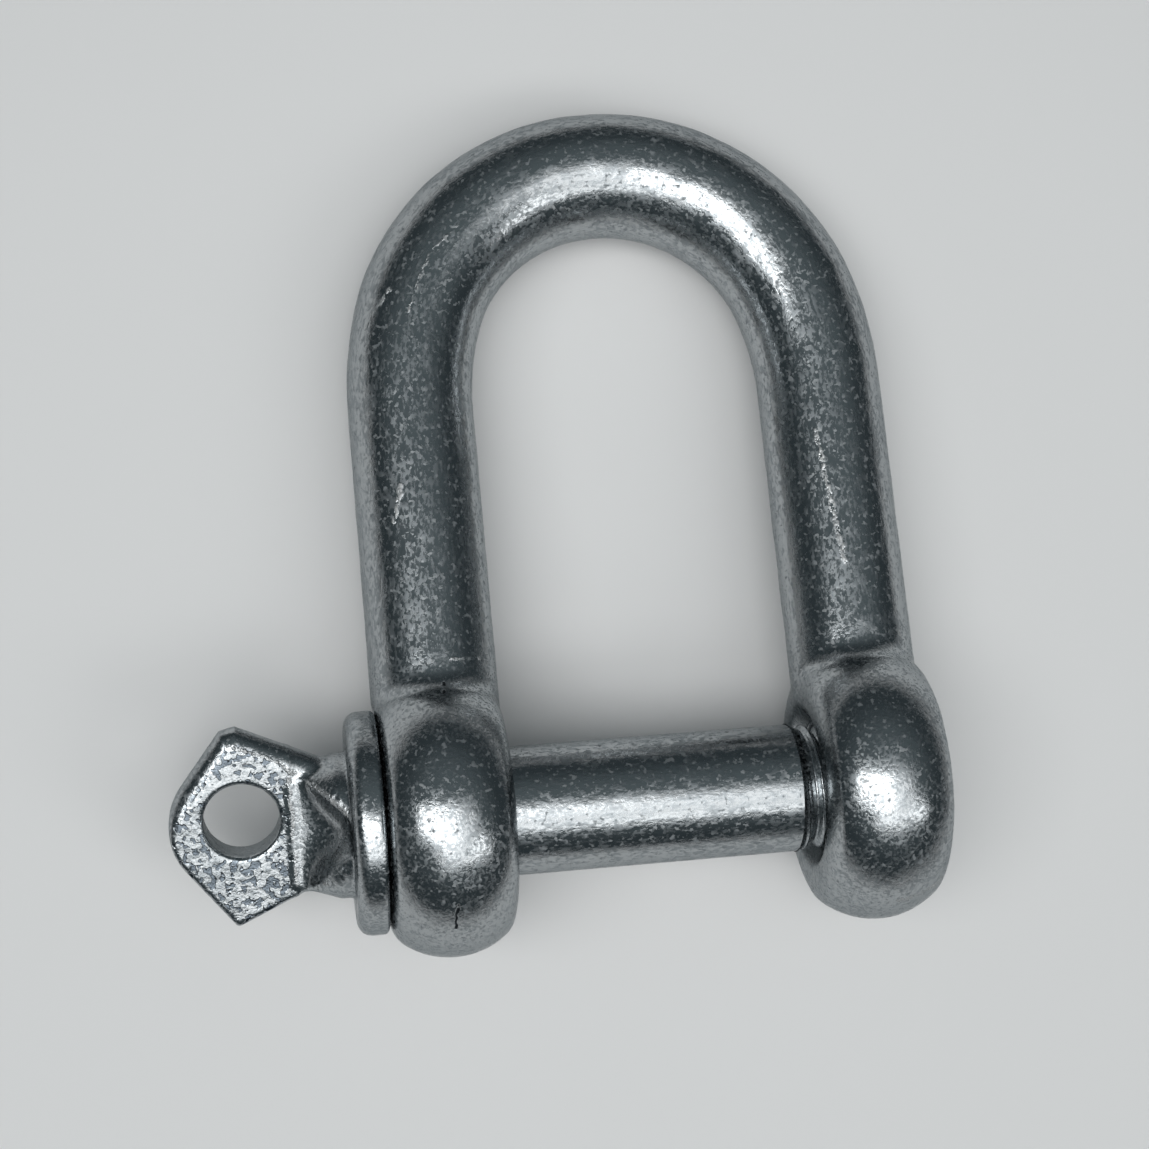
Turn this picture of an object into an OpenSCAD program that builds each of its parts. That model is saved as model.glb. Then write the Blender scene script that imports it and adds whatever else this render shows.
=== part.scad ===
// Chain joining shackle: a forged D-shaped bow closed by a screw pin with an eye head.
// Millimetres, +Z up. The pin's axis is X, its middle between the ears is the origin,
// and the bow lies toward +Y, resting on the two ears and on its crown.

/* [Bow] */
// Diameter of the round bar that the bow is bent from
bar_d = 10; // [8:0.5:14]
// Clear width between the two ears
jaw_w = 23.8; // [18:0.2:32]
// Clear length from the pin's shank to the inside of the crown
inside_l = 41.6; // [32:0.2:60]
// How much tighter than half the leg spacing the crown is bent
crown_tuck = 0.4; // [0.2:0.1:2]
// How much wider than half the leg spacing the shoulders are bent
shoulder_swell = 8; // [4:0.5:14]
// Step in radius where the bar was upset from leg to shoulder and from shoulder to crown
bend_step = 0.04; // [0.02:0.01:0.2]

/* [Ears] */
// Diameter of an ear across its rim
ear_d = 21.6; // [19:0.2:28]
// Thickness of an ear along the pin
ear_t = 9.7; // [8:0.1:13]
// How far an ear's domed rim falls from its middle to its faces
ear_drop = 2.2; // [1:0.1:3]
// Radius that rounds an ear's rim into its faces
ear_edge_r = 0.8; // [0.4:0.1:1.2]
// Radius of the forged fillet where a leg runs into its ear
blend_r = 1.9; // [1:0.1:4]

/* [Pin] */
// Diameter of the pin's plain shank
pin_d = 10; // [8:0.5:12]
// Pitch diameter of the threaded end
thread_d = 9; // [7:0.25:11]
// Plain shank that stops short of the tapped ear
thread_lead = 1.2; // [0.5:0.1:3]
// How far the threaded end stops inside the tapped ear's outer face
end_recess = 0.5; // [0:0.1:2]
// Chamfer on the tip of the threaded end
tip_chamfer = 0.9; // [0.4:0.1:1.5]

/* [Collar] */
// Diameter of the collar that tightens against the plain ear
collar_d = 17.2; // [15:0.2:22]
// Thickness of the collar
collar_t = 2.4; // [1.6:0.1:4]
// Radius that rounds the collar's rim on the side of the head
collar_edge_r = 1.1; // [0.4:0.1:1.4]
// Radius that breaks the collar's rim on the side of the ear
collar_seat_r = 0.4; // [0.2:0.1:0.8]

/* [Eye head] */
// Diameter of the neck between the collar and the flattened head
neck_d = 11.2; // [9:0.2:13]
// Length of the round neck before it tapers into the flat
neck_l = 2.4; // [1:0.1:3]
// Thickness of the flattened head
head_t = 3; // [2:0.1:5]
// Width of the head from corner to corner
head_w = 15.9; // [13:0.1:20]
// Width of the flat where its sides reach the collar
stem_w = 7.6; // [6:0.1:10]
// Length of the head from the collar to its end
head_l = 13.7; // [12:0.1:18]
// Place of the two corners, measured from the collar
corner_at = 9; // [7:0.1:10]
// Length that was trimmed off each side of the upper corner
corner_trim = 0.8; // [0.2:0.1:1.5]
// Radius of the head's rounded end
head_end_r = 5.3; // [4.6:0.1:6]
// Radius of the pinched fillet between the neck and the flat head
pinch_r = 4.2; // [2.5:0.1:5]
// Diameter of the eye through the head
eye_d = 5.8; // [4:0.1:7]
// How far off the pin's axis the head was flattened
head_off = 0.85; // [0:0.05:1]
// Place of the eye's middle, measured from the collar
eye_at = 8.2; // [7:0.1:9]
// How far off the head's own middle the eye was punched
eye_off = 0.55; // [0:0.05:1.2]
// Slope of the flat head from level, as the pin came to rest when tightened
head_turn = 18; // [-90:1:90]

/* [Fits] */
// Play of the shank across the plain ear's hole
pin_play = 0.7; // [0.4:0.05:1.2]
// Play of the threaded end across the tapped hole
thread_play = 0.12; // [0.04:0.02:0.2]
// Width of the countersink around the tapped hole, where it opens on the jaw
sink_w = 1.7; // [0.5:0.1:2]
// Width of the chamfer around the plain hole, where it opens on the jaw
plain_sink_w = 0.4; // [0.2:0.1:1]
// Gap between the tightened collar and the ear it presses on
seat_gap = 0.05; // [0:0.01:0.3]

/* [Hidden] */
$fn = 96;
bar_r = bar_d / 2;
ear_r = ear_d / 2;
leg_x = (jaw_w + ear_t) / 2;
jaw_x = jaw_w / 2;
outer_x = jaw_x + ear_t;
// The bow's middle line is a crown arc, two shoulder arcs and two straight legs.
shoulder_bar_r = bar_r + bend_step;
crown_bar_r = shoulder_bar_r + bend_step;
crown_y = inside_l + pin_d / 2 + crown_bar_r;
crown_r = leg_x - crown_tuck;
shoulder_r = leg_x + shoulder_swell;
crown_half = asin(shoulder_swell / (shoulder_swell + crown_tuck));
crown_mid_y = crown_y - crown_r;
leg_l = crown_mid_y - (shoulder_r - crown_r) * cos(crown_half);
// How far one length of bar runs into the next, in degrees along a bend.
lap = 1;
// The fillet leaves the leg where it would touch the ear's rim, and dips into the rim before that.
blend_mid = bar_r + blend_r;
blend_y = sqrt(pow(ear_r + blend_r, 2) - pow(blend_mid, 2));
blend_turn = 0.8 * atan2(blend_y, blend_mid);
blend_inset = 0.08;
// The bow tips until the crown touches the ground that the ears stand on.
rest_tilt = asin((ear_r - crown_bar_r) / crown_y);
plain_d = pin_d + pin_play;
tapped_d = thread_d + thread_play;
collar_x = -outer_x - seat_gap;
head_x = collar_x - collar_t;
shank_end = jaw_x - thread_lead;
pin_end = outer_x - end_recess;
pinch_at = pinch_r + (neck_d / 2 - head_t / 2 - pinch_r) / 2;
pinch_inset = 0.08;
end_at = head_l - head_end_r;
// Length by which cuts run past the faces they open on.
over = 1;

// Points of an arc about mid, from angle a0 to a1.
function arc(mid, r, a0, a1, steps = 9) =
    [for (i = [0 : steps]) mid + r * [cos(a0 + (a1 - a0) * i / steps), sin(a0 + (a1 - a0) * i / steps)]];

// Turns a solid about Z into one about X.
module along_x(x) translate([x, 0, 0]) rotate([0, 90, 0]) children();

// Bar of the bow: the crown and one shoulder and leg on each side.
module bow() {
    translate([0, crown_mid_y, 0])
        rotate([0, 0, 90 - crown_half])
            rotate_extrude(angle = 2 * crown_half)
                translate([crown_r, 0])
                    circle(crown_bar_r);
    for (side = [0, 1])
        mirror([side, 0, 0]) {
            translate([leg_x - shoulder_r, leg_l, 0])
                rotate_extrude(angle = 90 - crown_half + lap)
                    translate([shoulder_r, 0])
                        circle(shoulder_bar_r);
            translate([leg_x, blend_y - lap, 0])
                rotate([-90, 0, 0])
                    cylinder(r = bar_r, h = leg_l - blend_y + 2 * lap);
        }
}

// Forged ear: a disc with a domed rim that is rounded into both faces.
module ear() {
    dome_r = (pow(ear_t / 2, 2) + pow(ear_drop, 2)) / (2 * ear_drop);
    face = ear_t / 2 - ear_edge_r;
    turn = asin(face / (dome_r - ear_edge_r));
    edge = ear_r - dome_r + (dome_r - ear_edge_r) * cos(turn);
    rotate_extrude()
        polygon(concat(
            [[0, -ear_t / 2]],
            arc([edge, -face], ear_edge_r, -90, -turn, 3),
            arc([ear_r - dome_r, 0], dome_r, 4 / 5 * -turn, 4 / 5 * turn, 8),
            arc([edge, face], ear_edge_r, turn, 90, 3),
            [[0, ear_t / 2]]
        ));
}

// Fillet around the foot of a leg, as wide as the ear is thick.
module leg_blend() {
    intersection() {
        rotate([-90, 0, 0])
            rotate_extrude()
                polygon(concat(
                    [[0, 0], [blend_mid - blend_r * cos(blend_turn), 0]],
                    arc([blend_mid, blend_y], blend_r, 180 + blend_turn, 180, 7),
                    [[0, blend_y]]
                ));
        translate([blend_inset - ear_t / 2, -over, -ear_r])
            cube([ear_t - 2 * blend_inset, ear_d, ear_d]);
    }
}

// Hole through an ear from the jaw outward, countersunk on the jaw's side.
module ear_hole(d, sink) {
    translate([0, 0, jaw_x - over]) {
        cylinder(d = d, h = ear_t + 2 * over);
        cylinder(r1 = d / 2 + sink + over, r2 = d / 2, h = sink + over);
    }
}

module shackle_body() {
    color("#9a9c9d")
        rotate([-rest_tilt, 0, 0])
            difference() {
                union() {
                    bow();
                    for (side = [-1, 1]) {
                        along_x(side * leg_x)
                            ear();
                        translate([side * leg_x, 0, 0])
                            leg_blend();
                    }
                }
                rotate([0, 90, 0])
                    ear_hole(tapped_d, sink_w);
                rotate([0, -90, 0])
                    ear_hole(plain_d, plain_sink_w);
            }
}

// Shank, threaded end and collar: one turned outline about the pin's axis.
module pin_turning() {
    rim = collar_d / 2 - collar_edge_r;
    seat_rim = collar_d / 2 - collar_seat_r;
    along_x(0)
        rotate_extrude()
            polygon(concat(
                [[0, head_x]],
                arc([rim, head_x + collar_edge_r], collar_edge_r, -90, 0, 6),
                arc([seat_rim, collar_x - collar_seat_r], collar_seat_r, 0, 90, 3),
                [
                    [pin_d / 2, collar_x],
                    [pin_d / 2, shank_end],
                    [thread_d / 2, shank_end + (pin_d - thread_d) / 2],
                    [thread_d / 2, pin_end - tip_chamfer],
                    [thread_d / 2 - tip_chamfer, pin_end],
                    [0, pin_end]
                ]
            ));
}

// Spade outline of the head, from the collar at 0 to its rounded end at -head_l.
module head_outline() {
    half = head_w / 2;
    reach = [corner_at - end_at, half];
    tangent = atan2(reach[1], reach[0]) - acos(head_end_r / norm(reach));
    stem = [0, stem_w / 2];
    corner = [-corner_at, half];
    side = arc([-end_at, 0], head_end_r, 180 - tangent, 180, 8);
    trim = [for (end = [stem, side[0]]) corner + corner_trim * (end - corner) / norm(end - corner)];
    root = [[collar_t / 2, stem_w / 2], stem];
    lower = concat(root, [corner], side);
    upper = concat(root, trim, side);
    polygon(concat(upper, [for (i = [len(lower) - 2 : -1 : 0]) [lower[i][0], -lower[i][1]]]));
}

// Edge view of the neck, pinched from both sides until its fillets sink into the flat.
module pinched_edge() {
    half = head_t / 2 - pinch_inset;
    upper = concat(
        [[collar_t / 2, half + pinch_r]],
        arc([-pinch_at, half + pinch_r], pinch_r, 0, -90, 8),
        [[-head_l, half]]
    );
    polygon(concat(upper, [for (i = [len(upper) - 1 : -1 : 0]) [upper[i][0], -upper[i][1]]]));
}

// Round neck that starts inside the collar and tapers into the flat.
module neck() {
    along_x(0)
        rotate_extrude()
            polygon([
                [0, -2 * neck_l],
                [neck_d / 2 - neck_l, -2 * neck_l],
                [neck_d / 2, -neck_l],
                [neck_d / 2, collar_t / 2],
                [0, collar_t / 2]
            ]);
}

// Flattened eye head: a punched spade, and the round neck that was pinched down to it.
module pin_head() {
    translate([head_x, 0, 0])
        difference() {
            union() {
                linear_extrude(head_t, center = true)
                    translate([0, head_off])
                        head_outline();
                intersection() {
                    neck();
                    rotate([90, 0, 0])
                        linear_extrude(2 * neck_d, center = true)
                            pinched_edge();
                }
            }
            translate([-eye_at, head_off + eye_off, 0])
                cylinder(d = eye_d, h = head_t + 2 * over, center = true);
        }
}

module screw_pin() {
    color("#a6a8aa") {
        pin_turning();
        rotate([head_turn, 0, 0])
            pin_head();
    }
}

shackle_body();
screw_pin();
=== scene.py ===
# Chain joining shackle in galvanised steel: a forged D-shaped bow with two bored ears,
# closed by a screw pin that has a collar and a flattened eye head. Metres, +Z up.

import math

import bmesh
import bpy
import numpy as np
from mathutils import Euler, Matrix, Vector, noise


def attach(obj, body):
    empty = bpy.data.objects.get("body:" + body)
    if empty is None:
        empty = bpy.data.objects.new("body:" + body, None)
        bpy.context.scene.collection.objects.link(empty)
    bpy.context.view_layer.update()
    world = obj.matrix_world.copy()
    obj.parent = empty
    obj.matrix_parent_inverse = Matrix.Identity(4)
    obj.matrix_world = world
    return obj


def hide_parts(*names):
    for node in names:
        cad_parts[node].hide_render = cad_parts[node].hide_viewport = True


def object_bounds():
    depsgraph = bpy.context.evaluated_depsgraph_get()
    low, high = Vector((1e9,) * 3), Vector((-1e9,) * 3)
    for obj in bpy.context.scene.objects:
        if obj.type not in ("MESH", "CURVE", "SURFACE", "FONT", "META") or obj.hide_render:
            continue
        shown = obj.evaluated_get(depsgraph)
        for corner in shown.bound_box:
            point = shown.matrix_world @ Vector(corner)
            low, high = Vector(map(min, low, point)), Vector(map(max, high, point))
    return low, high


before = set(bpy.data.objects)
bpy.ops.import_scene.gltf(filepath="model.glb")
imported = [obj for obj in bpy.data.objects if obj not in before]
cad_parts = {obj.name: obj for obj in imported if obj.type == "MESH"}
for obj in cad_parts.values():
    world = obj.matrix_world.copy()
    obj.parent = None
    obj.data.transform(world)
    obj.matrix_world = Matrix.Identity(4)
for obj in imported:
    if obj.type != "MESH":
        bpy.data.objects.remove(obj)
cad_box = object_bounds()

# Viewpoint
# The shackle lies flat and is seen from almost straight above, a little from the pin's head,
# through a lens of moderate length held about eighteen bar diameters away.

camera_data = bpy.data.cameras.new("camera")
camera_data.lens = 71.97
camera_data.sensor_width = 36
camera_data.clip_start = 0.01
camera = bpy.data.objects.new("camera", camera_data)
camera.location = (-0.02949, 0.00263, 0.17853)
camera.rotation_euler = Euler([math.radians(a) for a in (5.5032, -7.356, -4.6755)])
bpy.context.scene.collection.objects.link(camera)
bpy.context.scene.camera = camera

# Bow with its two ears
# Round steel bar, bent hot into a D. Each end is upset and closed in a die to a domed ear. The
# ears are bored, one plain with a flat seat for the pin's collar and one to be tapped, and the
# whole bow is dipped in zinc.

BAR_R = 5.0
CROWN_SWELL = 0.08
SWELL_RUN = 8.0
LEG_X = 16.75
LEG_END = 32.77
CROWN_R = 16.35
CROWN_MID = 35.33
CROWN_HALF = math.radians(72.25)
SHOULDER_R = 24.75
CROWN_START = LEG_END + SHOULDER_R * (math.pi / 2 - CROWN_HALF)
CROWN_TOP = CROWN_START + CROWN_R * CROWN_HALF
EAR_R = 10.8
EAR_HALF = 4.85
EAR_DOME = 6.445
EAR_EDGE = 0.8
FOOT_FILLET = 1.1
FOOT_EDGE = 0.1
JAW_X = 11.9
PLAIN_R = 5.35
PLAIN_SINK = 0.4
TAP_R = 5.05
TAP_SINK_R = 6.26
SINK_SLOPE = math.sqrt(0.5)
BORE_EDGE = 0.25
SEAT_R = 8.9
SEAT_X = -LEG_X - EAR_HALF
REST_TILT = math.radians(6.3546)
MM = 0.001


def lean(points, angle):
    """Points turned about the pin's axis."""
    c, s = math.cos(angle), math.sin(angle)
    x, y, z = points.T
    return np.stack([x, y * c - z * s, y * s + z * c], 1)


def bar_path(points):
    """Length along the bar from an ear, and the distance outside its middle line in the bow's plane."""
    x, y = np.abs(points[:, 0]), points[:, 1]
    from_crown = np.hypot(x, y - CROWN_MID)
    crown_turn = np.arctan2(x, y - CROWN_MID)
    shoulder_x = x - (LEG_X - SHOULDER_R)
    from_shoulder = np.hypot(shoulder_x, y - LEG_END)
    shoulder_turn = np.arctan2(y - LEG_END, shoulder_x)
    parts = [y <= LEG_END, crown_turn <= CROWN_HALF]
    along = [y, CROWN_START + CROWN_R * (CROWN_HALF - crown_turn), LEG_END + SHOULDER_R * shoulder_turn]
    out = [x - LEG_X, from_crown - CROWN_R, from_shoulder - SHOULDER_R]
    return np.select(parts, along[:2], along[2]), np.select(parts, out[:2], out[2])


def round_join(a, b, r):
    """Two solids run together by a fillet."""
    inside = np.hypot(np.maximum(r - a, 0), np.maximum(r - b, 0))
    return np.maximum(r, np.minimum(a, b)) - inside


def round_cut(a, tool, r):
    """A solid cut by a tool, with the edge of the cut broken."""
    outside = np.hypot(np.maximum(r + a, 0), np.maximum(r - tool, 0))
    return np.minimum(-r, np.maximum(a, -tool)) + outside


def forging(points):
    """Distance from the forged and bored surface, negative inside, in mm."""
    x, y, z = points.T
    along, out = bar_path(points)
    swell = CROWN_SWELL * np.clip((along - LEG_END) / SWELL_RUN, 0, 1)
    bar = np.sqrt(out**2 + z**2 + np.minimum(y, 0) ** 2) - BAR_R - swell
    radius = np.hypot(y, z)
    side = np.abs(x) - LEG_X
    dome = np.hypot(np.maximum(radius - (EAR_R - EAR_DOME), 0), side) - EAR_DOME
    ear = round_cut(dome, EAR_HALF - np.abs(side), EAR_EDGE)
    upright = z**2 / (out**2 + z**2 + 1e-9)
    body = round_join(bar, ear, FOOT_EDGE + FOOT_FILLET * upright)
    seat = np.maximum(radius - SEAT_R, x - SEAT_X)
    body = np.maximum(body, -seat)
    deep = np.abs(x) - JAW_X
    tapped = np.minimum(radius - TAP_R, (radius - TAP_SINK_R + deep) * SINK_SLOPE)
    plain = np.minimum(radius - PLAIN_R, (radius - PLAIN_R - PLAIN_SINK + deep) * SINK_SLOPE)
    return round_cut(body, np.where(x > 0, tapped, plain), BORE_EDGE)


def slope(solid, points, step=0.01):
    """Unit normals of a solid's distance at some points."""
    axes = np.eye(3) * step
    grad = np.stack([solid(points + e) - solid(points - e) for e in axes], 1)
    return grad / np.maximum(np.linalg.norm(grad, axis=1), 1e-9)[:, None]


def remeshed(node, name, size):
    """A new piece of even quads of a size in mm, from a copy of a CAD node's mesh."""
    piece = bpy.data.objects.new(name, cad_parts[node].data.copy())
    bpy.context.scene.collection.objects.link(piece)
    weld = bmesh.new()
    weld.from_mesh(piece.data)
    bmesh.ops.remove_doubles(weld, verts=weld.verts, dist=1e-7)
    weld.to_mesh(piece.data)
    weld.free()
    step = piece.modifiers.new("even quads", "REMESH")
    step.mode = "VOXEL"
    step.voxel_size = size * MM
    graph = bpy.context.evaluated_depsgraph_get()
    mesh = bpy.data.meshes.new_from_object(piece.evaluated_get(graph))
    piece.modifiers.clear()
    piece.data = mesh
    mesh.materials.clear()
    mesh.shade_smooth()
    return piece


def corners(piece):
    """A piece's vertices in mm."""
    flat = np.zeros(len(piece.data.vertices) * 3)
    piece.data.vertices.foreach_get("co", flat)
    return flat.reshape(-1, 3) / MM


def set_corners(piece, points):
    """Puts a piece's vertices at points in mm."""
    piece.data.vertices.foreach_set("co", (points * MM).ravel())
    piece.data.update()


def relaxed(piece, points, rounds, share=0.5):
    """Points moved towards the middle of their neighbours."""
    edges = np.zeros(len(piece.data.edges) * 2, int)
    piece.data.edges.foreach_get("vertices", edges)
    a, b = edges.reshape(-1, 2).T
    count = np.bincount(edges, minlength=len(points))[:, None]
    for _ in range(rounds):
        total = np.zeros_like(points)
        for axis in range(3):
            total[:, axis] += np.bincount(a, points[b, axis], len(points))
            total[:, axis] += np.bincount(b, points[a, axis], len(points))
        points = points + share * (total / count - points)
    return points


SEED_SHIFT = (7.3, 3.1, 5.7)


def lumps(points, wave, seed):
    """Soft noise from -1 to 1 over a surface, with lumps about one wave apart."""
    shift = Vector([seed * step for step in SEED_SHIFT])
    return np.array([noise.noise(Vector(p) / wave + shift) for p in points])


def drawn_in(solid, points, steps):
    """Points moved onto a solid's surface along its slope."""
    for _ in range(steps):
        points = points - solid(points)[:, None] * slope(solid, points)
    return points


def settled(piece, solid, points, rounds):
    """A piece's points drawn onto a solid's surface, and kept evenly apart."""
    for _ in range(rounds):
        points = relaxed(piece, drawn_in(solid, points, steps=4), rounds=2)
    return drawn_in(solid, points, steps=6)


def set_grain(piece, run, across, up):
    """Places in mm that the finish is laid out by, with the run squeezed where the bar was drawn."""
    grain = piece.data.attributes.new("grain", "FLOAT_VECTOR", "POINT")
    grain.data.foreach_set("vector", np.stack([run, across, up], 1).ravel())


DRAWN = 0.5
EAR_TOP = 12.0
BOW_MESH = 0.3
WIDE_DENT, WIDE_WAVE = 0.035, 3.0
SMALL_DENT, SMALL_WAVE = 0.012, 1.1
SEAT_MARGIN = 0.1

bow = remeshed("shackle_body", "bow_and_ears", BOW_MESH)
points = settled(bow, forging, lean(corners(bow), REST_TILT), rounds=4)
along, out = bar_path(points)
to_crown = DRAWN * (CROWN_TOP - np.maximum(along, EAR_TOP)) + np.maximum(EAR_TOP - along, 0)
set_grain(bow, to_crown * np.sign(points[:, 0]), out, points[:, 2])
dents = WIDE_DENT * lumps(points, WIDE_WAVE, seed=1) + SMALL_DENT * lumps(points, SMALL_WAVE, seed=2)
under_collar = np.hypot(points[:, 1], points[:, 2]) < SEAT_R
on_seat = under_collar & (points[:, 0] < SEAT_X + SEAT_MARGIN)
dents = np.where(on_seat, np.minimum(dents, 0), dents)
points = points + slope(forging, points) * dents[:, None]
set_corners(bow, lean(points, -REST_TILT))


class Wire:
    """A socket in a finish. Sums and products of wires and numbers add Math nodes."""

    def __init__(self, tree, socket):
        self.tree, self.socket = tree, socket

    @classmethod
    def node(cls, tree, kind, settings, sockets, out=0):
        """A node of any kind: its settings first, then its sockets' values or wires."""
        made = tree.nodes.new("ShaderNode" + kind)
        for name, value in settings.items():
            setattr(made, name, value)
        for name, value in sockets.items():
            if isinstance(value, Wire):
                tree.links.new(value.socket, made.inputs[name])
            else:
                made.inputs[name].default_value = value
        return cls(tree, made.outputs[out]) if made.outputs else None

    def math(self, operation, *values):
        return Wire.node(self.tree, "Math", {"operation": operation}, dict(enumerate(values)))

    def __add__(self, other):
        return self.math("ADD", self, other)

    __radd__ = __add__

    def __sub__(self, other):
        return self.math("SUBTRACT", self, other)

    def __rsub__(self, other):
        return self.math("SUBTRACT", other, self)

    def __mul__(self, other):
        return self.math("MULTIPLY", self, other)

    __rmul__ = __mul__

    def between(self, low, high):
        """0 below low, 1 above high, eased between them."""
        return Wire.node(
            self.tree,
            "MapRange",
            {"interpolation_type": "SMOOTHSTEP"},
            {"Value": self, "From Min": low, "From Max": high},
        )

    def vector(self, operation, *values, out=0):
        sockets = dict(enumerate((self, *values)))
        return Wire.node(self.tree, "VectorMath", {"operation": operation}, sockets, out)

    def line(self, start, end, width):
        """1 on a straight mark, easing to 0 at its sides, where this wire is the place in mm."""
        run = Vector(end) - Vector(start)
        along = self.vector("SUBTRACT", start)
        share = along.vector("DOT_PRODUCT", run / run.length_squared, out=1)
        share = Wire.node(self.tree, "Math", {"operation": "ADD", "use_clamp": True}, {0: share, 1: 0.0})
        nearest = Wire.node(self.tree, "VectorMath", {"operation": "SCALE"}, {0: run, "Scale": share})
        gap = along.vector("DISTANCE", nearest, out=1)
        return 1 - gap.between(0.2 * width, 0.5 * width)

    def marks(self, lines, wear):
        """The strongest of some straight marks at a place in mm, each broken up by the wear."""
        most = 0 * wear
        for mark in lines:
            most = most.math("MAXIMUM", most, self.line(*mark) * wear)
        return most

    def mottle(self, scale, detail=2.0, rough=0.5, out=0):
        """Soft noise at a place in mm, with lumps about 1 / scale apart."""
        sockets = {"Vector": self, "Scale": scale, "Detail": detail, "Roughness": rough}
        return Wire.node(self.tree, "TexNoise", {}, sockets, out)

    def mix(self, a, b):
        """Colour a where this is 0 and b where it is 1."""
        return Wire.node(self.tree, "Mix", {"data_type": "RGBA"}, {0: self, 6: a, 7: b}, 2)


BRIGHT = (0.45, 0.47, 0.48, 1)
DULLED = (0.33, 0.355, 0.37, 1)
# Painted shade: dark colour of the hollows on the hammered head.
HOLLOW_PAINTED_SHADE = (0.15, 0.175, 0.2, 1)
# Light colour of the rub marks: rubbed wear in places, painted highlights on ridges and seams.
RUBBED_AND_HIGHLIGHT = (0.62, 0.63, 0.63, 1)
CRACKED = (0.03, 0.035, 0.04, 1)
RIM_TINT = (0.55, 0.57, 0.58, 1)
STRAY = 0.3
SKIN_ROUGH = 0.09
DULL_ROUGH, FLECK_ROUGH = 0.28, 0.4
RUB_AND_HIGHLIGHT_ROUGH, CRACK_ROUGH = 0.2, 0.3
HAMMERED_CLEAN = 0.6
SKIN_RELIEF = 0.02 * MM
SPECK_H, HOLLOW_H = 0.8, 2.0
RUB_AND_HIGHLIGHT_H, CRACK_H = 2.0, 3.0


def zinc(name, rubs_and_highlights=(), cracks=()):
    """Hot-dipped zinc: a finely pitted bright skin with dull specks, in clearer and duller patches.

    Rubs are light line marks, partly rubbed wear and partly painted highlights on ridges and
    seams, and cracks are dark ones, each with two ends and a width in mm. Where a piece has the
    value hammered, its skin is clean between small hollows, which are dented and also painted
    dark as painted shade.
    """
    finish = bpy.data.materials.new(name)
    finish.use_nodes = True
    tree = finish.node_tree
    tree.nodes.clear()
    place = Wire.node(tree, "TexCoord", {}, {}, "Object")
    mm = Wire.node(tree, "VectorMath", {"operation": "SCALE"}, {0: place, "Scale": 1 / MM})
    grain = Wire.node(tree, "Attribute", {"attribute_name": "grain"}, {}, "Vector")
    pits = grain.mottle(scale=4.2, detail=3.0, rough=0.6)
    specks = grain.mottle(scale=1.9)
    patch = mm.mottle(scale=0.2)
    dull = (0.6 * pits + 0.3 * specks + 0.2 * patch).between(0.48, 0.65)
    flecks = mm.mottle(scale=2.6).between(0.58, 0.68)
    stray = mm.mottle(scale=0.9, out="Color")
    aside = stray.vector("MULTIPLY_ADD", Vector.Fill(3, 2 * STRAY), Vector.Fill(3, -STRAY))
    wander = mm.vector("ADD", aside)
    rub_and_highlight = wander.marks(rubs_and_highlights, pits.between(0.35, 0.65))
    crack = wander.marks(cracks, specks.between(0.3, 0.5))
    hammered = Wire.node(tree, "Attribute", {"attribute_name": "hammered"}, {}, "Fac")
    shaded_hollows = hammered * mm.mottle(scale=2.0, detail=1.0).between(0.52, 0.6)
    # Painted shade: the hollows on the hammered head are coloured dark as well as dented.
    beaten_and_shaded = shaded_hollows.mix(dull.mix(BRIGHT, DULLED), HOLLOW_PAINTED_SHADE)
    # The rub marks paint highlights on ridges and seams as well as rubbed wear; the cracks stay dark.
    colour = crack.mix(rub_and_highlight.mix(beaten_and_shaded, RUBBED_AND_HIGHLIGHT), CRACKED)
    speckled = (DULL_ROUGH * dull + FLECK_ROUGH * flecks) * (1 - HAMMERED_CLEAN * hammered)
    rough = SKIN_ROUGH + speckled + RUB_AND_HIGHLIGHT_ROUGH * rub_and_highlight + CRACK_ROUGH * crack
    height = pits + SPECK_H * specks - HOLLOW_H * shaded_hollows + RUB_AND_HIGHLIGHT_H * rub_and_highlight - CRACK_H * crack
    bump = Wire.node(tree, "Bump", {}, {"Strength": 1.0, "Distance": SKIN_RELIEF, "Height": height})
    skin = {"Base Color": colour, "Roughness": rough, "Normal": bump}
    metal = {"Metallic": 1.0, "Specular Tint": RIM_TINT}
    shader = Wire.node(tree, "BsdfPrincipled", {}, {**metal, **skin})
    Wire.node(tree, "OutputMaterial", {}, {"Surface": shader})
    return finish


# Light line marks on the bow: scratches and rubbed streaks on the left leg and shoulder, painted highlights
# along the right leg's seam and the right ear's bevel.
BOW_RUBS_AND_HIGHLIGHTS = (
    ((14.9, 28.1, 1.5), (16.0, 17.4, 3.0), 0.6),
    ((-18.4, 25.8, 1.9), (-19.0, 23.0, 1.9), 0.5),
    ((-17.9, 41.6, -0.2), (-20.0, 38.6, -1.1), 0.5),
    ((-12.1, 46.5, -0.1), (-14.4, 44.4, 0.1), 0.3),
    ((-14.4, 44.4, 0.1), (-15.8, 41.9, 0.4), 0.4),
    ((-15.8, 41.9, 0.4), (-16.7, 39.6, 0.6), 0.35),
    ((-15.6, 12.0, 3.6), (-13.3, 11.9, 2.3), 0.4),
    ((17.2, -9.2, 5.7), (20.5, -7.9, 5.3), 1.0),
)
BOW_CRACKS = (
    ((-16.9, -6.4, 8.7), (-17.0, -8.2, 7.0), 0.3),
    ((-16.4, 10.2, 4.4), (-16.4, 9.2, 5.6), 0.4),
)
bow_zinc = zinc("bow_zinc", BOW_RUBS_AND_HIGHLIGHTS, BOW_CRACKS)
bow.data.materials.append(bow_zinc)
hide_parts("shackle_body")
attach(bow, "shackle")

# Thread in the tapped ear
# A right-hand thread, cut into the ear on the pin's far side after the countersink was drilled.
# It starts in the countersink and runs out at the ear's outer face.

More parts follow.
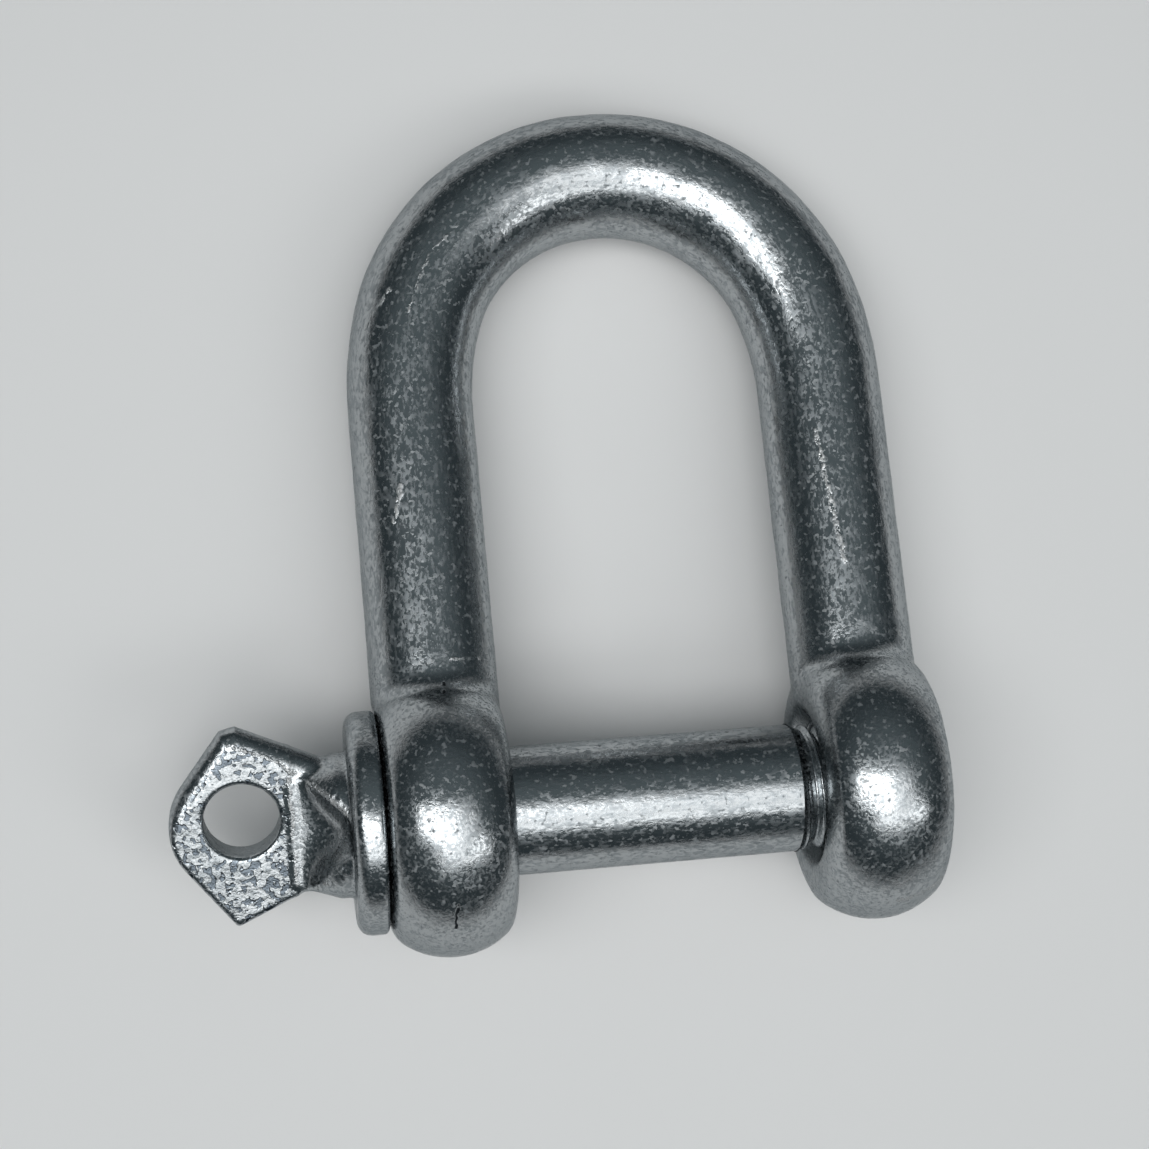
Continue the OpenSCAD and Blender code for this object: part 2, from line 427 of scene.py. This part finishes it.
PITCH = 1.25
ROOT_R = 4.15
TOOTH = 0.72
OUTER_X = 21.6
THREAD_PLAY = 0.06
TAP_START = JAW_X + 1
TAP_LIMIT = TAP_R + 0.1
TURN_STEPS = 96
THREAD_STEP = 0.1
ROOT_FLAT = 0.12
FLANK = 0.76


def thread_radius(x, turn):
    """Radius of the screw thread at a place along the pin and round it."""
    phase = (x / PITCH - turn / (2 * math.pi)) % 1
    rise = np.clip((1 - np.abs(2 * phase - 1) - ROOT_FLAT) / FLANK, 0, 1)
    return ROOT_R + TOOTH * rise


def turned_sheet(name, places, radii, outward):
    """A sheet round the pin's axis, from radii on a grid of places along it and steps round it."""
    turns = np.arange(TURN_STEPS) * 2 * math.pi / TURN_STEPS
    rows = len(places)
    x = np.repeat(places, TURN_STEPS)
    turn = np.tile(turns, rows)
    r = radii(x, turn)
    points = np.stack([x, r * np.cos(turn), r * np.sin(turn)], 1)
    faces = []
    for i in range(rows - 1):
        for j in range(TURN_STEPS):
            a, b = i * TURN_STEPS + j, i * TURN_STEPS + (j + 1) % TURN_STEPS
            quad = (a, a + TURN_STEPS, b + TURN_STEPS, b)
            faces.append(quad[::-1] if outward else quad)
    if outward:
        faces.append(tuple(range((rows - 1) * TURN_STEPS, rows * TURN_STEPS)))
    mesh = bpy.data.meshes.new(name)
    mesh.from_pydata((points * MM).tolist(), [], faces)
    mesh.shade_smooth()
    piece = bpy.data.objects.new(name, mesh)
    bpy.context.scene.collection.objects.link(piece)
    set_grain(piece, *points.T)
    return piece


def tapped_radius(x, turn):
    """Radius of the thread in the ear, widened at the countersink and at the ear's outer face."""
    sink = TAP_SINK_R - (x - JAW_X)
    mouth = TAP_R - (OUTER_X - x)
    cut = thread_radius(x, turn) + THREAD_PLAY
    return np.clip(np.maximum(cut, np.maximum(sink, mouth)), 0, TAP_LIMIT)


tap_places = np.arange(TAP_START, OUTER_X + THREAD_STEP / 10, THREAD_STEP)
tapped = turned_sheet("tapped_thread", tap_places, tapped_radius, False)
tapped.data.materials.append(bow_zinc)
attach(tapped, "shackle")

# Screw pin
# Turned from round bar with a collar near one end. Beyond the collar the bar is heated and
# pinched flat, off its middle, which leaves a hollow between two ridges in the neck. The flat
# is sheared to a spade and punched with an eye for a tightening bar.

SHANK_R = 5.0
SHANK_END = 10.7
SHANK_SHOULDER = 2.0
CORE_R = 4.0
CORE_END = 20.7
COLLAR_R = 8.6
COLLAR_SEAT = -21.65
COLLAR_HEAD = -24.05
COLLAR_EDGE = 1.1
SEAT_EDGE = 0.4
NECK_R = 5.6
NECK_L = 1.0
NECK_TAPER = 0.35
NECK_FILLET = 0.4
SUNK = 1.0
PINCH_R = 4.9
PINCH_AT = 4.6
PINCH_FLOOR = 1.5
PINCH_RISE = 0.6
RISE_FROM = 4.0
PINCH_EDGE = 0.12
FLAT_HALF = 1.5
STEM_HALF = 3.8
CORNER_AT = 9.0
CORNER_HALF = 7.95
CORNER_TRIM = 0.5
CORNER_ROUND = 0.3
END_AT = 8.4
END_R = 5.3
HEAD_OFF = 0.85
EYE_AT = 8.2
EYE_OFF = 1.4
EYE_R = 2.9
EYE_EDGE = 0.3
SHEARED_EDGE = 0.35
ROLLED_EDGE = 1.45
ROLL_RUN = 3.0
CREASE_AT = 4.4
CREASE_W = 0.25
CREASE_H = 0.05
HEAD_TURN = math.radians(18)


def spade(u, v):
    """Distance outside the head's outline, from the places along and across it."""
    across = np.abs(v)
    rise, run = CORNER_HALF - STEM_HALF, CORNER_AT
    side = (run * (across - STEM_HALF) - rise * u) / math.hypot(rise, run)
    reach = CORNER_AT - END_AT
    facing = math.atan2(CORNER_HALF, reach) - math.acos(END_R / math.hypot(CORNER_HALF, reach))
    slant = (u - END_AT) * math.cos(facing) + across * math.sin(facing)
    round_end = np.hypot(u - END_AT, across)
    end = np.where(np.arctan2(across, u - END_AT) < facing, round_end, slant) - END_R
    outline = round_cut(side, -end, CORNER_ROUND)
    side_facing = math.atan2(run, -rise)
    middle = (side_facing + facing) / 2
    trim = (u - CORNER_AT) * math.cos(middle) + (across - CORNER_HALF) * math.sin(middle) + CORNER_TRIM
    return np.where(v > 0, np.maximum(outline, trim), outline)


def pin_forging(points):
    """Distance from the turned and flattened pin's surface, negative inside, in mm.

    On the head, u runs out from the collar, v across the flat and w up from its middle.
    """
    x, y, z = points.T
    radius = np.hypot(y, z)
    u = COLLAR_HEAD - x
    _, v, w = lean(points, -HEAD_TURN).T
    w = np.abs(w)
    neck = radius - NECK_R + NECK_TAPER * np.maximum(u - NECK_L, 0)
    ease, aside = np.clip(1 - u / RISE_FROM, 0, 1), v - HEAD_OFF
    rise = PINCH_RISE * (ease * aside) ** 2
    steep = 2 * PINCH_RISE * ease * aside * np.hypot(ease, aside / RISE_FROM)
    hollow = PINCH_R - np.hypot(u - PINCH_AT, w - PINCH_FLOOR - PINCH_R - rise)
    hollow = hollow / np.hypot(1, steep)
    pinched = np.where(u < PINCH_AT, hollow, w - PINCH_FLOOR + u - PINCH_AT)
    neck = round_cut(neck, -pinched, PINCH_EDGE)
    rolled = np.clip(v / ROLL_RUN, 0, 1)
    edge = SHEARED_EDGE + (ROLLED_EDGE - SHEARED_EDGE) * rolled
    flat = round_cut(w - FLAT_HALF, -spade(u, v - HEAD_OFF), edge)
    eye = np.hypot(u - EYE_AT, v - EYE_OFF) - EYE_R
    head = round_cut(round_join(flat, neck, NECK_FILLET), eye, EYE_EDGE)
    head = np.maximum(head, -SUNK - u)
    collar = round_cut(radius - COLLAR_R, x - COLLAR_HEAD, COLLAR_EDGE)
    collar = round_cut(collar, COLLAR_SEAT - x, SEAT_EDGE)
    shank = radius - np.clip(SHANK_R - SHANK_SHOULDER * (x - SHANK_END), CORE_R, SHANK_R)
    shank = np.maximum(shank, np.maximum(x - CORE_END, COLLAR_HEAD + SUNK - x))
    return round_join(np.minimum(collar, shank), head, EYE_EDGE)


PIN_MESH = 0.2
PIN_DENT, PIN_WAVE = 0.006, 0.8
HAMMER_DENT = 0.01
HAMMER_RUN = 0.5
FLAT_FROM = 1.32
FLAT_RUN = 0.15

pin = remeshed("screw_pin", "screw_pin_forging", PIN_MESH)
points = settled(pin, pin_forging, corners(pin), rounds=3)
past_collar = points[:, 0] - COLLAR_SEAT
set_grain(pin, np.where(past_collar > 0, DRAWN, 1) * past_collar, points[:, 1], points[:, 2])
past_crease = COLLAR_HEAD - CREASE_AT - points[:, 0]
from_middle = np.abs(lean(points, -HEAD_TURN)[:, 2])
flat = np.clip(past_crease / HAMMER_RUN, 0, 1) * np.clip((from_middle - FLAT_FROM) / FLAT_RUN, 0, 1)
hammered = pin.data.attributes.new("hammered", "FLOAT", "POINT")
hammered.data.foreach_set("value", flat)
crease = CREASE_H * np.exp(-((past_crease / CREASE_W) ** 2))
dents = (PIN_DENT + HAMMER_DENT * flat) * lumps(points, PIN_WAVE, seed=3) + crease
set_corners(pin, points + slope(pin_forging, points) * dents[:, None])
# Painted highlights along the crease and the two ridges of the pinched neck, drawn as light line marks.
PIN_RIDGE_HIGHLIGHTS = (
    ((-28.45, -4.27, 0.19), (-28.45, 3.91, 2.85), 0.5),
    ((-32.8, 6.5, 3.7), (-29.8, 5.5, 3.4), 0.45),
    ((-29.8, 5.5, 3.4), (-28.3, 4.4, 3.0), 0.4),
    ((-28.3, 4.4, 3.0), (-27.05, 3.46, 3.47), 0.6),
    ((-27.05, 3.46, 3.47), (-25.85, 2.32, 4.79), 0.75),
    ((-25.85, 2.32, 4.79), (-24.35, 0.60, 5.57), 0.75),
    ((-26.85, -4.67, 1.71), (-26.05, -4.12, 3.26), 0.5),
    ((-26.05, -4.12, 3.26), (-25.05, -3.29, 4.53), 0.5),
)
pin_zinc = zinc("pin_zinc", PIN_RIDGE_HIGHLIGHTS)
pin.data.materials.append(pin_zinc)
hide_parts("screw_pin")
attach(pin, "pin")

# Thread on the pin
# Rolled on the pin's far end, from a run-out beside the plain shank to a chamfered tip. It is
# the same right-hand thread as in the ear, a little slack, so that the pin turns in by hand.

PIN_END = 21.1
TIP_CHAMFER = 0.9
RUN_OUT = 0.6
PIN_ROWS = 106


def pin_thread_radius(x, turn):
    """Radius of the thread on the pin, between its run-out and its tip."""
    run_out = SHANK_R - RUN_OUT * (x - SHANK_END)
    tip = ROOT_R + TOOTH - (x - (PIN_END - TIP_CHAMFER))
    return np.minimum(np.maximum(thread_radius(x, turn), run_out), tip)


pin_places = np.linspace(SHANK_END - THREAD_STEP, PIN_END, PIN_ROWS)
pin_thread = turned_sheet("pin_thread", pin_places, pin_thread_radius, True)
pin_thread.data.materials.append(pin_zinc)
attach(pin_thread, "pin")

# Floor and studio light
# A pale matt table in a dim room with grey below and a lit patch of ceiling overhead. The
# table's colour darkens away from its middle: a pool of light painted on it. One long soft box
# lies along the ceiling, with a fainter one beyond its end, one at the side and one towards the front.

FLOOR_R = 1.4
TABLE_MIDDLE = (0.8, 0.8, 0.795, 1)
TABLE_PAINTED_DIM = (0.4, 0.4, 0.4, 1)
MIDDLE_R, FAR_R = 0.06, 0.22
floor_mesh = bpy.data.meshes.new("floor")
disc = bmesh.new()
bmesh.ops.create_circle(disc, cap_ends=True, segments=96, radius=FLOOR_R)
disc.to_mesh(floor_mesh)
disc.free()
floor = bpy.data.objects.new("floor", floor_mesh)
floor.location.z = cad_box[0].z
bpy.context.scene.collection.objects.link(floor)
matt = bpy.data.materials.new("pale_table")
matt.use_nodes = True
matt.node_tree.nodes.clear()
spot = Wire.node(matt.node_tree, "TexCoord", {}, {}, "Object").vector("LENGTH", out=1)
# Painted pool of light: the table's colour falls off from the middle outwards.
painted_light_pool = spot.between(MIDDLE_R, FAR_R).mix(TABLE_MIDDLE, TABLE_PAINTED_DIM)
table = Wire.node(matt.node_tree, "BsdfPrincipled", {}, {"Base Color": painted_light_pool, "Roughness": 0.9})
Wire.node(matt.node_tree, "OutputMaterial", {}, {"Surface": table})
floor_mesh.materials.append(matt)

WALL = (0.4, 0.4, 0.4, 1)
DARK_SIDE = (0.045, 0.058, 0.064, 1)
CEILING = (0.14, 0.17, 0.18, 1)
LIT_CEILING = (1.1, 1.12, 1.13, 1)
WALL_RISE = (0.0, 0.05)
CEILING_RISE = (0.3, 1.0)
LIT_RISE = (0.8, 0.95)
LIT_BACK = (-0.05, 0.3)

world = bpy.data.worlds.new("room")
bpy.context.scene.world = world
world.use_nodes = True
room = world.node_tree
room.nodes.clear()
toward = Wire.node(room, "TexCoord", {}, {}, "Generated")
upward = Wire.node(room, "SeparateXYZ", {}, {0: toward}, 2)
back = Wire.node(room, "SeparateXYZ", {}, {0: toward}, 1)
lit = (1 - back.between(*LIT_BACK)) * upward.between(*LIT_RISE)
ceiling = upward.between(*CEILING_RISE).mix(DARK_SIDE, CEILING)
glow = upward.between(*WALL_RISE).mix(WALL, lit.mix(ceiling, LIT_CEILING))
sky = Wire.node(room, "Background", {}, {"Color": glow, "Strength": 1.0})
Wire.node(room, "OutputWorld", {}, {"Surface": sky})

LAMP_HEIGHT = 3.0


def ceiling_lamp(name, start, end, width, glow):
    """A soft box on the ceiling between two places given as shares of its height, of a given brightness."""
    start, end = Vector((*start, 1)) * LAMP_HEIGHT, Vector((*end, 1)) * LAMP_HEIGHT
    run = end - start
    lamp = bpy.data.lights.new(name, "AREA")
    lamp.shape = "RECTANGLE"
    lamp.size, lamp.size_y = run.length, width * LAMP_HEIGHT
    lamp.energy = glow * math.pi * lamp.size * lamp.size_y
    box = bpy.data.objects.new(name, lamp)
    box.location = (start + end) / 2
    box.rotation_euler.z = math.atan2(run.y, run.x)
    bpy.context.scene.collection.objects.link(box)


ceiling_lamp("long_lamp", (-0.9, -0.02), (0.05, -0.24), 0.5, 3.4)
ceiling_lamp("far_lamp", (0.05, -0.24), (0.5, -0.24), 0.5, 0.6)
ceiling_lamp("side_lamp", (0.5, -0.45), (1.35, -0.8), 0.35, 2.2)
ceiling_lamp("front_lamp", (-0.4, -0.68), (0.9, -0.68), 0.32, 1.75)

bpy.context.scene.view_settings.view_transform = "Standard"
